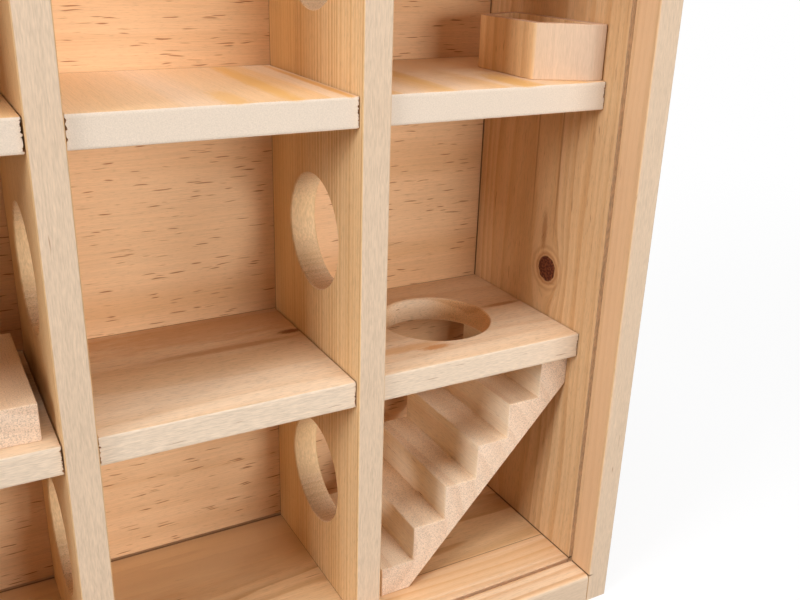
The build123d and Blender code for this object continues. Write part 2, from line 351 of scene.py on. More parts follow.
def knot_flow(tree, place, knot):
    """Grain that parts round a knot, with masks for the knot's heart and the rings round it."""
    across, along, size = knot
    split = put(tree, "ShaderNodeSeparateXYZ")
    feed(tree, split.inputs[0], place)
    side = calc(tree, "SUBTRACT", split.outputs[1], across)
    rise = calc(tree, "SUBTRACT", split.outputs[2], along)
    long_rise = calc(tree, "MULTIPLY", rise, 0.55)
    far = calc(tree, "ADD", calc(tree, "POWER", side, 2.0), calc(tree, "POWER", long_rise, 2.0))
    keep = calc(tree, "SUBTRACT", 1.0, calc(tree, "DIVIDE", 1.25 * size * size, calc(tree, "MAXIMUM", far, 1.0)))
    parted = calc(tree, "MULTIPLY_ADD", side, calc(tree, "MAXIMUM", keep, 0.0), across)
    moved = put(tree, "ShaderNodeCombineXYZ")
    for socket, value in zip(moved.inputs, (split.outputs[0], parted, split.outputs[2])):
        feed(tree, socket, value)
    distance = calc(tree, "SQRT", calc(tree, "ADD", calc(tree, "POWER", side, 2.0), calc(tree, "POWER", rise, 2.0)))
    wobble = noise(tree, spread(tree, place, 3.0, 3.0))
    distance = calc(tree, "MULTIPLY_ADD", calc(tree, "SUBTRACT", wobble, 0.5), 1.6, distance)
    heart = between(tree, distance, size - 0.7, size + 0.1, 1.0, 0.0)
    wave = calc(tree, "MULTIPLY_ADD", calc(tree, "SINE", calc(tree, "MULTIPLY", distance, 1.9)), 0.5, 0.5)
    collar = calc(tree, "MULTIPLY", between(tree, distance, size, size + 8.0, 0.6, 0.0), wave)
    return moved.outputs[0], heart, collar


def dress(node, material):
    """Give a CAD piece its finish."""
    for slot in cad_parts[node].material_slots:
        slot.material = material


# Mesh helpers

def joined(verts):
    """Edges that close a ring of vertices."""
    members = set(verts)
    edges = [edge for vert in verts for edge in vert.link_edges if edge.other_vert(vert) in members]
    return list(dict.fromkeys(edges))


def linked(verts):
    """All vertices that hang together with the given ones, in the order they are met."""
    met = dict.fromkeys(verts)
    queue = list(met)
    while queue:
        vert = queue.pop()
        for edge in vert.link_edges:
            other = edge.other_vert(vert)
            if other not in met:
                met[other] = None
                queue.append(other)
    return list(met)


def only_verts(items):
    """The vertices among a mesh's elements."""
    return [item for item in items if isinstance(item, bmesh.types.BMVert)]


def outline(bm, points):
    """A closed line through a few points."""
    verts = [bm.verts.new(point) for point in points]
    return [bm.edges.new(pair) for pair in zip(verts, verts[1:] + verts[:1])]


def round_over(bm, edges, size, segments=3):
    """Round some edges."""
    bmesh.ops.bevel(bm, geom=edges, affect="EDGES", offset_type="OFFSET", offset=size * MM, segments=segments,
                    profile=0.5, material=-1, clamp_overlap=True)


def add_piece(bm, node, slot, *materials, body="case"):
    """Finish a mesh as the piece that stands for a CAD node."""
    bmesh.ops.recalc_face_normals(bm, faces=bm.faces)
    for face in bm.faces:
        face.smooth = True
    for edge in bm.edges:
        edge.smooth = edge.is_manifold and edge.calc_face_angle(0.0) < math.radians(22)
    mesh = bpy.data.meshes.new(f"{node}_wood" if slot not in ("screw_steel", "nail_steel") else f"{node}_steel")
    bm.to_mesh(mesh)
    bm.free()
    for material in materials:
        mesh.materials.append(material)
    piece = bpy.data.objects.new(mesh.name, mesh)
    bpy.context.scene.collection.objects.link(piece)
    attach(piece, body)
    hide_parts(node)
    return piece


def shelf_mesh(low, high, hole_radius, seed):
    """A shelf with eased edges, torn a little where its ends were sawn."""
    bm = bmesh.new()
    eases = ((0.0, 0.8, 0.7), (0.23, 0.23, 0.45), (0.8, 0.0, 0.3))
    levels = [(high.z - depth * MM, front * MM, end * MM) for depth, front, end in eases]
    levels += [(low.z + depth * MM, front * MM, end * MM) for depth, front, end in reversed(eases)]
    rims = [outline(bm, ((low.x + end, low.y + front, z), (high.x - end, low.y + front, z),
                         (high.x - end, high.y, z), (low.x + end, high.y, z))) for z, front, end in levels]
    if hole_radius:
        middle = (low + high) / 2
        ease = 0.5 * MM
        rings = []
        for z, grow in ((high.z, ease), (high.z - ease, 0.0), (low.z + ease, 0.0), (low.z, ease)):
            place = Matrix.Translation((middle.x, middle.y, z))
            ring = bmesh.ops.create_circle(bm, cap_ends=False, radius=hole_radius + grow, segments=120, matrix=place)
            rings.append(joined(ring["verts"]))
        bmesh.ops.bridge_loops(bm, edges=rims[0] + rings[0])
        bmesh.ops.bridge_loops(bm, edges=rims[-1] + rings[-1])
        for upper, lower in zip(rings, rings[1:]):
            bmesh.ops.bridge_loops(bm, edges=upper + lower)
    else:
        for rim in (rims[0], rims[-1]):
            bmesh.ops.edgeloop_fill(bm, edges=rim)
    for upper, lower in zip(rims, rims[1:]):
        bmesh.ops.bridge_loops(bm, edges=upper + lower)

    chance = random.Random(seed)
    for end, inward in ((low.x, 1.0), (high.x, -1.0)):
        corner = Vector((end + inward * eases[-1][2] * MM, low.y))
        edges = [edge for edge in bm.edges if all((vert.co.xy - corner).length < CLOSE for vert in edge.verts)]
        torn = bmesh.ops.subdivide_edges(bm, edges=edges, cuts=26)
        for vert in only_verts(torn["geom_inner"]):
            vert.co.x += inward * (0.1 + 0.8 * chance.random() ** 2) * MM
    bmesh.ops.triangulate(bm, faces=[face for face in bm.faces if len(face.verts) > 4])
    return bm


def stair_mesh(low, high, mirrored, sizes, seed):
    """A stair block cut from one piece, with crumbled edges."""
    climb, reach = high.z - low.z, high.x - low.x
    rise = (climb - sizes.first_rise) / sizes.riser_count
    steps = [(0.0, 0.0)]
    for step in range(sizes.riser_count):
        height = sizes.first_rise + step * rise
        steps += [(step * sizes.tread_run, height), ((step + 1) * sizes.tread_run, height)]
    steps += [(sizes.riser_count * sizes.tread_run, climb), (reach, climb), (reach, climb - sizes.end_height),
              (sizes.foot_length, 0.0)]
    bm = bmesh.new()
    front = bm.faces.new([bm.verts.new((high.x - x if mirrored else low.x + x, low.y, low.z + z)) for x, z in steps])
    grown = bmesh.ops.extrude_face_region(bm, geom=[front])["geom"]
    bmesh.ops.translate(bm, vec=(0.0, high.y - low.y, 0.0), verts=only_verts(grown))
    bmesh.ops.recalc_face_normals(bm, faces=bm.faces)
    round_over(bm, [edge for edge in bm.edges if edge.is_convex and edge.calc_face_angle(0.0) > SHARP], 0.5, 2)
    long_edges = [edge for edge in bm.edges if abs(edge.verts[0].co.y - edge.verts[1].co.y) > 50 * MM]
    bmesh.ops.subdivide_edges(bm, edges=long_edges, cuts=44)
    chance = random.Random(seed)
    for vert in sorted(bm.verts, key=lambda vert: [round(value, 6) for value in vert.co]):
        if low.z + 1 * MM < vert.co.z and low.x + 1 * MM < vert.co.x < high.x - 1 * MM:
            vert.co.x += chance.uniform(-0.09, 0.09) * MM
            vert.co.z -= chance.uniform(0.0, 0.16) * MM
    bmesh.ops.triangulate(bm, faces=bm.faces, quad_method="SHORT_EDGE")
    return bm


def dish_mesh(low, high, sizes):
    """A block with slanted corners, hollowed from the top and rounded at its rim."""
    corner = low.x + sizes.dish_corner_width
    front, rear = low.y + sizes.dish_corner_length, high.y - sizes.dish_corner_length
    bm = bmesh.new()
    top = bm.faces.new([bm.verts.new((x, y, high.z)) for x, y in (
        (high.x, low.y), (high.x, high.y), (corner, high.y), (low.x, rear), (low.x, front), (corner, low.y))])
    grown = bmesh.ops.extrude_face_region(bm, geom=[top])["geom"]
    bmesh.ops.translate(bm, vec=(0.0, 0.0, low.z - high.z), verts=only_verts(grown))
    bmesh.ops.recalc_face_normals(bm, faces=bm.faces)
    outer = upright_edges(bm)
    top = max(bm.faces, key=lambda face: face.calc_center_median().z)
    bmesh.ops.inset_region(bm, faces=[top], thickness=sizes.dish_wall, use_even_offset=True)
    hollow = bmesh.ops.extrude_face_region(bm, geom=[top])["geom"]
    bmesh.ops.translate(bm, vec=(0.0, 0.0, sizes.dish_bottom - (high.z - low.z)), verts=only_verts(hollow))
    if top.is_valid:
        bmesh.ops.delete(bm, geom=[top], context="FACES_ONLY")
    round_over(bm, outer, 1.3)
    inner = [edge for edge in upright_edges(bm) if min(vert.co.z for vert in edge.verts) > low.z + 1 * MM]
    round_over(bm, inner, 3.6, 5)
    for level, size, segments in ((low.z + sizes.dish_bottom, 2.6, 4), (high.z, 1.0, 3), (low.z, 0.5, 2)):
        round_over(bm, [edge for edge in bm.edges if edge.calc_face_angle(0.0) > SHARP
                        and all(abs(vert.co.z - level) < CLOSE for vert in edge.verts)], size, segments)
    return bm


def upright_edges(bm):
    """Edges that stand upright."""
    return [edge for edge in bm.edges if (edge.verts[0].co - edge.verts[1].co).xy.length < CLOSE]


def fastener_boxes(node):
    """Lowest and highest corners of each fastener in a CAD node, read from a merged copy of its mesh."""
    bm = bmesh.new()
    bm.from_mesh(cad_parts[node].data)
    bmesh.ops.remove_doubles(bm, verts=bm.verts, dist=CLOSE)
    boxes, seen = [], set()
    for start in bm.verts:
        if start not in seen:
            fastener = linked([start])
            seen.update(fastener)
            points = [vert.co for vert in fastener]
            boxes.append((Vector(map(min, zip(*points))), Vector(map(max, zip(*points)))))
    bm.free()
    return boxes


SCREW_HEAD, SCREW_SHANK, SCREW_RECESS = 2.9, 1.35, 1.1
SCREW_RIM, SCREW_CONE, SCREW_POINT = 0.25, 1.45, 3.5


def add_screw(bm, length):
    """One countersunk screw with a cross recess, its head up at the origin."""
    verts = bmesh.ops.create_grid(bm, x_segments=5, y_segments=5, size=1.0)["verts"]
    cross = []
    for face in dict.fromkeys(face for vert in verts for face in vert.link_faces):
        near, far = sorted(abs(value) for value in face.calc_center_median().xy)
        if near < 0.1 and far < 0.5:
            cross.append(face)
    for vert in verts:
        if max(abs(vert.co.x), abs(vert.co.y)) > 0.9:
            vert.co.xy = vert.co.xy.normalized()
        else:
            vert.co.x = math.copysign(0.13 if abs(vert.co.x) < 0.4 else 0.55, vert.co.x)
            vert.co.y = math.copysign(0.13 if abs(vert.co.y) < 0.4 else 0.55, vert.co.y)
    bmesh.ops.scale(bm, vec=(SCREW_HEAD * MM, SCREW_HEAD * MM, 1.0), verts=verts)
    made = list(verts)
    rim = [edge for edge in joined(verts) if edge.is_boundary]
    sunk = only_verts(bmesh.ops.extrude_face_region(bm, geom=cross)["geom"])
    bmesh.ops.translate(bm, vec=(0.0, 0.0, -SCREW_RECESS * MM), verts=sunk)
    bmesh.ops.scale(bm, vec=(0.6, 0.6, 1.0), verts=sunk)
    bmesh.ops.delete(bm, geom=[face for face in cross if face.is_valid], context="FACES")
    made += sunk
    straight = length / MM - SCREW_RIM - SCREW_CONE - SCREW_POINT
    for drop, width in ((SCREW_RIM, 1.0), (SCREW_CONE, SCREW_SHANK / SCREW_HEAD), (straight, 1.0), (SCREW_POINT, 0.12)):
        grown = bmesh.ops.extrude_edge_only(bm, edges=rim)["geom"]
        ring = only_verts(grown)
        rim = [item for item in grown if isinstance(item, bmesh.types.BMEdge)]
        bmesh.ops.translate(bm, vec=(0.0, 0.0, -drop * MM), verts=ring)
        bmesh.ops.scale(bm, vec=(width, width, 1.0), verts=ring)
        made += ring
    bmesh.ops.edgeloop_fill(bm, edges=joined(ring))
    return made


def add_nail(bm, length):
    """One wire nail with a flat head, its head up at the origin."""
    line = [(0.0, 0.0), (1.2, 0.0), (1.55, -0.25), (1.5, -0.7), (0.75, -0.8), (0.75, 2.0 - length / MM),
            (0.0, -length / MM)]
    verts = [bm.verts.new((x * MM, 0.0, z * MM)) for x, z in line]
    edges = [bm.edges.new(pair) for pair in zip(verts, verts[1:])]
    spun = bmesh.ops.spin(bm, geom=verts + edges, axis=(0.0, 0.0, 1.0), cent=(0.0, 0.0, 0.0), steps=16,
                          angle=2 * math.pi, use_merge=True)
    made = linked(verts + only_verts(spun["geom_last"]))
    bmesh.ops.remove_doubles(bm, verts=made, dist=1e-7)
    return [vert for vert in made if vert.is_valid]


# What a user would change

def colour_setting(name, description, default):
    return bpy.props.FloatVectorProperty(name=name, description=description, subtype="COLOR", size=4, min=0.0, max=1.0,
                                         default=default)


def length_setting(name, description, default):
    return bpy.props.FloatProperty(name=name, description=description, unit="LENGTH", default=default * MM)


def power_setting(name, description, default):
    return bpy.props.FloatProperty(name=name, description=description, unit="POWER", default=default, min=0.0)


class TowerPine(bpy.types.PropertyGroup):
    """Colours of the tower's pine."""
    pale_colour: colour_setting("Pale wood", "Early wood of the boards", srgb(229, 192, 154))
    deep_colour: colour_setting("Deep wood", "Late wood of the boards", srgb(200, 146, 93))
    streak_colour: colour_setting("Resin flecks", "Short dark flecks in the grain", srgb(140, 84, 46))
    front_colour: colour_setting("Front edges", "Fresh pale wood on the boards' front edges", srgb(213, 187, 160))
    end_colour: colour_setting("End grain", "Wood cut across the grain", srgb(222, 186, 156))
    end_deep_colour: colour_setting("Dark end grain", "Late wood cut across the grain", srgb(188, 138, 104))


class TowerShape(bpy.types.PropertyGroup):
    """Sizes of the pieces that are modelled here."""
    passage: length_setting("Shelf passage", "Width of the passages in the shelves", 53)
    first_rise: length_setting("First step", "Height of the stairs' first step", 15)
    riser_count: bpy.props.IntProperty(
        name="Steps above it", description="Number of steps above the first", default=5, min=1)
    tread_run: length_setting("Tread", "Depth of a tread", 16.64)
    foot_length: length_setting("Foot", "Length on which the stairs stand", 14.9)
    end_height: length_setting("Upper end", "Height of the stairs' end at the side panel", 13)
    dish_corner_width: length_setting("Dish corner width", "The dish's slanted corners, from side to side", 22)
    dish_corner_length: length_setting("Dish corner length", "The dish's slanted corners, from front to back", 12)
    dish_wall: length_setting("Dish wall", "Thickness of the dish's walls", 4.6)
    dish_bottom: length_setting("Dish bottom", "Thickness of the dish's bottom", 6)


class TowerStage(bpy.types.PropertyGroup):
    """Camera and light."""
    camera_place: bpy.props.FloatVectorProperty(
        name="Camera place", description="Where the camera stands", subtype="TRANSLATION", size=3, unit="LENGTH",
        default=(-100.21 * MM, -338.67 * MM, 305.89 * MM))
    camera_turn: bpy.props.FloatVectorProperty(
        name="Camera turn", description="Where the camera looks", subtype="EULER", size=3, unit="ROTATION",
        default=(math.radians(68.417), math.radians(-1.591), math.radians(-28.778)))
    camera_lens: bpy.props.FloatProperty(
        name="Lens", description="Focal length of the lens in millimetres", default=41.506, min=10.0)
    front_power: power_setting("Front light", "Power of the soft light in front", 7.4)
    window_power: power_setting("Window light", "Power of the broad light at the right", 8.2)
    top_power: power_setting("Top light", "Power of the broad light overhead", 11.4)
    left_power: power_setting("Left light", "Power of the low light at the left", 11.3)
    back_power: power_setting("Back light", "Power of the soft light behind", 14.0)
    room_light: bpy.props.FloatProperty(
        name="Room light", description="Light from all round", default=0.012, min=0.0)
    floor_colour: colour_setting("Floor", "Pale studio floor", srgb(165, 163, 160))


# Operators

def board_look(scene, **changes):
    """The usual pine of the boards, with a board's own changes."""
    wood = scene.tower_pine
    look = {
        "Ring spacing": 5.0, "Ring contrast": 0.5, "Wander": 4.0, "Flecks": 0.12, "Lines": 0.08, "Tone": 0.4,
        "Pores": 0.3, "Pale": wood.pale_colour, "Deep": wood.deep_colour, "Streak": wood.streak_colour,
        "End pale": wood.end_colour, "End deep": wood.end_deep_colour, "Front pale": wood.front_colour,
    }
    for name, value in changes.items():
        look[name.replace("_", " ").capitalize()] = value
    return look


def front_of(node):
    """Where a piece's front edge is, in millimetres."""
    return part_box(node)[0].y / MM


class TOWER_OT_side_panels(bpy.types.Operator):
    """Upright panels at both ends, with streaky grain, a knot and the groove, and painted shade where the right panel
    meets the floor and back panel
    """
    bl_idname = "tower.side_panels"
    bl_label = "Side panels"

    def execute(self, context):
        look = board_look(context.scene, ring_spacing=3.3, ring_contrast=0.6, wander=6.0, flecks=0.05, lines=0.2,
                          tone=0.3, pores=0.4, pale=srgb(219, 181, 137), deep=srgb(190, 139, 85))
        streaks_and_joint_shade = (
            ((168.0, 8.5, 218.0), (3.0, 0.8, 58.0), (148, 96, 54), 0.5),
            ((168.0, -9.0, 214.0), (3.0, 0.9, 52.0), (142, 92, 52), 0.55),
            ((168.0, -2.0, 176.0), (3.0, 2.6, 14.0), (158, 104, 58), 0.6),
            ((168.0, -54.0, 180.0), (3.0, 9.0, FAR), (232, 192, 152), 0.7),
            # Painted shade: dark lines where the right panel meets the floor and the back panel
            ((168.0, 0.0, 15.0), (3.0, FAR, 0.7), (92, 56, 28), 0.8),
            ((168.0, 54.9, 180.0), (3.0, 0.7, FAR), (92, 56, 28), 0.7),
        )
        dress("right_side_panel", pine("pine_right_panel", "Z", (-214.0, -14.0, 0.0), look,
                                       upright=front_of("right_side_panel"), knot=(-6.2, 158.0, 6.6), marks=streaks_and_joint_shade))
        dress("left_side_panel", pine("pine_left_panel", "Z", (222.0, -10.0, 400.0), look,
                                      upright=front_of("left_side_panel")))
        return {"FINISHED"}


class TOWER_OT_dividers(bpy.types.Operator):
    """Upright boards between the columns, straight in the grain"""
    bl_idname = "tower.dividers"
    bl_label = "Dividers"

    def execute(self, context):
        look = board_look(context.scene, ring_spacing=2.7, ring_contrast=0.75, wander=0.5, flecks=0.02, lines=0.02,
                          tone=0.3, pores=0.45, pale=srgb(227, 193, 147), deep=srgb(194, 144, 86),
                          end_pale=srgb(236, 206, 172), end_deep=srgb(204, 164, 126))
        marks_with_joint_shade = (
            # Paler towards the back of each face
            ((0.0, 62.0, 180.0), (FAR, 60.0, FAR), (240, 204, 146), 0.45),
            # Painted shade: dark lines where the divider meets the back panel and the floor
            ((0.0, 54.9, 180.0), (FAR, 0.6, FAR), (88, 50, 22), 0.75),
            ((0.0, 0.0, 15.0), (FAR, FAR, 0.6), (88, 50, 22), 0.7),
        )
        for node, offset in (("right_divider", (-58.0, 420.0, 0.0)), ("left_divider", (58.0, 380.0, 500.0))):
            dress(node, pine(f"pine_{node}", "Z", offset, look, upright=front_of(node), marks=marks_with_joint_shade))
        return {"FINISHED"}


class TOWER_OT_shelves(bpy.types.Operator):
    """Floors of the upper rooms, two of them with a passage"""
    bl_idname = "tower.shelves"
    bl_label = "Shelves"

    def execute(self, context):
        scene = context.scene
        radius = scene.tower_shape.passage / 2
        joint_shade_colour = (96, 58, 28)
        lower = board_look(scene, ring_spacing=9.0, ring_contrast=0.4, wander=14.0, flecks=0.06, lines=0.15, tone=0.4,
                           pores=0.5, pale=srgb(232, 204, 173), deep=srgb(213, 168, 119),
                           front_pale=srgb(224, 202, 178), end_pale=srgb(230, 186, 138), end_deep=srgb(194, 138, 88))
        upper = board_look(scene, ring_spacing=21.0, ring_contrast=0.75, wander=6.0, flecks=0.0, lines=0.0, tone=0.25,
                           pores=0.25, pale=srgb(229, 195, 161), deep=srgb(224, 172, 100),
                           front_pale=srgb(223, 205, 186))
        grain_and_painted_light = {
            "lower_middle_shelf": (
                # Painted shade: darker over the back of this shelf's top
                ((20.0, 46.0, 135.0), (85.0, 24.0, 1.0), (200, 144, 90), 0.5),
                ((14.0, 19.0, 135.0), (46.0, 3.4, 1.0), (184, 130, 84), 0.6),
                ((47.0, 25.0, 135.0), (8.0, 3.0, 1.0), (136, 78, 40), 0.85),
            ),
            "lower_right_shelf": (
                ((84.0, -15.0, 135.0), (28.0, 5.0, 1.0), (214, 158, 100), 0.55),
                ((99.0, -19.0, 135.0), (10.0, 3.2, 1.0), (200, 132, 66), 0.8),
                ((156.0, 12.0, 135.0), (15.0, 2.4, 1.0), (168, 108, 62), 0.75),
                ((78.0, 8.0, 135.0), (7.0, 6.0, 1.0), (158, 96, 52), 0.75),
            ),
            "upper_middle_shelf": (
                ((27.0, 8.0, 251.0), (6.0, 90.0, 1.0), (224, 172, 98), 0.8),
                ((48.5, 0.0, 251.0), (2.6, 80.0, 1.0), (218, 160, 82), 0.8),
                ((6.0, -24.0, 251.0), (7.0, 24.0, 1.0), (222, 172, 102), 0.6),
            ),
            "upper_right_shelf": (
                # Painted light: paler over the back of this shelf's top
                ((116.0, 42.0, 251.0), (70.0, 52.0, 1.0), (246, 218, 186), 0.65),
                ((92.0, 20.0, 251.0), (6.0, 80.0, 1.0), (222, 174, 104), 0.7),
                ((128.0, -22.0, 251.0), (8.0, 30.0, 1.0), (216, 164, 88), 0.8),
            ),
        }
        for index, side in enumerate(("left", "middle", "right")):
            for storey, look, grain, offset in (
                ("lower", lower, "X", (162.0, 20.0 - 25 * index, 700.0 * index)),
                ("upper", upper, "Y", (30.0 * index, 330.0, 500.0 * index)),
            ):
                node = f"{storey}_{side}_shelf"
                low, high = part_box(node)
                pierced = node in ("lower_right_shelf", "upper_left_shelf")
                bm = shelf_mesh(low, high, radius if pierced else 0.0, seed=index + (storey == "upper") * 3)
                top = high.z / MM
                # Painted shade: dark lines along the shelf's ends and back edge, where it meets the uprights and the
                # back panel
                marks_with_joint_shade = (
                    ((low.x / MM, 0.0, top), (0.8, FAR, 2.0), joint_shade_colour, 0.75),
                    ((high.x / MM, 0.0, top), (0.8, FAR, 2.0), joint_shade_colour, 0.75),
                    ((0.0, high.y / MM, top), (FAR, 0.8, 2.0), joint_shade_colour, 0.65),
                )
                add_piece(bm, node, "pine_board", pine(f"pine_{storey}_{side}", grain, offset, look,
                                                       front=low.y / MM, marks=grain_and_painted_light.get(node, ()) + marks_with_joint_shade))
        return {"FINISHED"}


class TOWER_OT_base(bpy.types.Operator):
    """Floor board and front sill"""
    bl_idname = "tower.base"
    bl_label = "Floor and sill"

    def execute(self, context):
        look = board_look(context.scene, ring_spacing=6.0, ring_contrast=0.8, wander=20.0, flecks=0.06, lines=0.12,
                          tone=0.5, pale=srgb(238, 201, 155), deep=srgb(194, 141, 88))
        floor_marks_and_corner_shade = (
            # Paler over the middle of the floor's rear
            ((0.0, 42.0, 15.0), (260.0, 42.0, 1.0), (238, 208, 168), 0.75),
            ((0.0, -22.7, 15.0), (FAR, 0.6, 3.0), (110, 70, 36), 0.75),
            # Painted shade: a dark line where the floor meets the back panel
            ((0.0, 54.9, 15.0), (FAR, 0.8, 3.0), (90, 54, 26), 0.7),
        )
        dress("floor_board", pine("pine_floor", "X", (55.0, -30.0, 0.0), look, marks=floor_marks_and_corner_shade,
                                  lamella=(31.0, -9.0)))
        sill = board_look(context.scene, ring_spacing=4.2, ring_contrast=0.7, wander=7.0, flecks=0.04, lines=0.2,
                          tone=0.2, pale=srgb(241, 208, 172), deep=srgb(208, 150, 92))
        rear_band = (((0.0, -31.0, 15.0), (FAR, 12.0, 2.0), (224, 172, 116), 0.5),)
        dress("front_sill", pine("pine_sill", "X", (-12.0, 78.0, 300.0), sill, front=front_of("front_sill"),
                                 marks=rear_band))
        return {"FINISHED"}


class TOWER_OT_top_boards(bpy.types.Operator):
    """Boards that close the side columns at the top"""
    bl_idname = "tower.top_boards"
    bl_label = "Top boards"

    def execute(self, context):
        look = board_look(context.scene, ring_spacing=8.0, ring_contrast=0.55, wander=14.0)
        for node, offset in (("left_top_board", (420.0, 10.0, 900.0)), ("right_top_board", (310.0, 40.0, 400.0))):
            dress(node, pine(f"pine_{node}", "X", offset, look, front=front_of(node)))
        return {"FINISHED"}


class TOWER_OT_back_panel(bpy.types.Operator):
    """Thin panel behind the rooms, full of short resin flecks"""
    bl_idname = "tower.back_panel"
    bl_label = "Back panel"

    def execute(self, context):
        look = board_look(context.scene, ring_spacing=15.0, ring_contrast=0.3, wander=10.0, flecks=0.75, lines=0.6,
                          tone=0.4, pores=0.25, pale=srgb(239, 198, 154), deep=srgb(214, 161, 107),
                          streak=srgb(150, 80, 34))
        dress("back_panel", pine("pine_back", "X", (180.0, 30.0, 0.0), look))
        return {"FINISHED"}


class TOWER_OT_stairs(bpy.types.Operator):
    """Stair blocks, sawn from one piece, with rough treads"""
    bl_idname = "tower.stairs"
    bl_label = "Stairs"

    def execute(self, context):
        scene = context.scene
        wood = {"pale": srgb(252, 232, 204), "deep": srgb(238, 202, 162), "end_pale": srgb(236, 209, 184),
                "end_deep": srgb(217, 182, 153)}
        smooth = board_look(scene, ring_spacing=9.0, ring_contrast=0.3, wander=5.0, flecks=0.1, lines=0.1, tone=0.3,
                            pores=0.35, **wood)
        wood.update(end_pale=srgb(250, 224, 194), end_deep=srgb(226, 186, 148))
        rough = board_look(scene, ring_spacing=9.0, ring_contrast=0.35, wander=5.0, flecks=0.08, lines=0.02, tone=0.4,
                           pores=0.4, **wood)
        for node, mirrored, offset in (("right_stairs", False, (-60.0, 40.0, 0.0)),
                                       ("left_stairs", True, (60.0, 200.0, 300.0))):
            low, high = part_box(node)
            bm = stair_mesh(low, high, mirrored, scene.tower_shape, seed=11 + mirrored)
            bmesh.ops.recalc_face_normals(bm, faces=bm.faces)
            for face in bm.faces:
                face.material_index = 1 if face.normal.z > 0.7 else 0
            add_piece(bm, node, "stair_block", pine(f"pine_{node}", "Y", offset, smooth),
                      pine(f"pine_{node}_treads", "Y", offset, rough, specks=0.75))
        return {"FINISHED"}


class TOWER_OT_feed_dish(bpy.types.Operator):
    """Loose dish with slanted corners and a hollow"""
    bl_idname = "tower.feed_dish"
    bl_label = "Feed dish"

    def execute(self, context):
        scene = context.scene
        low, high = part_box("feed_dish")
        look = board_look(scene, ring_spacing=6.5, ring_contrast=0.5, wander=2.0, flecks=0.02, lines=0.02, tone=0.3,
                          pores=0.3, pale=srgb(238, 200, 152), front_pale=srgb(210, 180, 154))
        slant_end = (low.y + scene.tower_shape.dish_corner_length) / MM
        bm = dish_mesh(low, high, scene.tower_shape)
        add_piece(bm, "feed_dish", "dish_block", pine("pine_dish", "Z", (-128.0, 30.0, 0.0), look, front=slant_end),
                  body="dish")
        return {"FINISHED"}


class TOWER_OT_fasteners(bpy.types.Operator):
    """Screws, nails and dowels"""
    bl_idname = "tower.fasteners"
    bl_label = "Fasteners"

    def execute(self, context):
        steel = bpy.data.materials.new("zinc_steel")
        steel.use_nodes = True
        tree = steel.node_tree
        skin = tree.nodes["Principled BSDF"]
        place = put(tree, "ShaderNodeTexCoord").outputs["Object"]
        scratch = noise(tree, vector_calc(tree, "MULTIPLY", place, (2500.0, 2500.0, 2500.0)), 3.0)
        feed(tree, skin.inputs["Base Color"], blend(tree, scratch, srgb(150, 148, 142), srgb(205, 204, 200)))
        feed(tree, skin.inputs["Roughness"], calc(tree, "MULTIPLY_ADD", scratch, 0.3, 0.2))
        skin.inputs["Metallic"].default_value = 1.0
        bump = put(tree, "ShaderNodeBump")
        bump.inputs["Strength"].default_value = 0.15
        bump.inputs["Distance"].default_value = 0.05 * MM
        feed(tree, bump.inputs["Height"], scratch)
        feed(tree, skin.inputs["Normal"], bump.outputs[0])
        for node, out, slot, add_one in (
            ("left_side_screws", (-1, 0, 0), "screw_steel", add_screw),
            ("right_side_screws", (1, 0, 0), "screw_steel", add_screw),
            ("floor_screws", (0, 0, -1), "screw_steel", add_screw),
            ("top_screws", (0, 0, 1), "screw_steel", add_screw),
            ("back_nails", (0, 1, 0), "nail_steel", add_nail),
        ):
            facing = Vector(out)
            bm = bmesh.new()
            for index, (low, high) in enumerate(fastener_boxes(node)):
                reach = (high - low) / 2
                half = abs(facing.dot(reach))
                verts = add_one(bm, 2 * half)
                turn = facing.to_track_quat("Z", "Y") @ Matrix.Rotation(index * 0.9, 3, "Z").to_quaternion()
                head = (low + high) / 2 + facing * half
                bmesh.ops.transform(bm, matrix=Matrix.Translation(head) @ turn.to_matrix().to_4x4(), verts=verts)
            add_piece(bm, node, slot, steel)
        dress("shelf_dowels", pine("pine_dowels", "X", (3.0, 2.0, 0.0), board_look(context.scene, ring_spacing=2.0)))
        return {"FINISHED"}


LIGHT_AIM = (0.05, 0.0, 0.18)


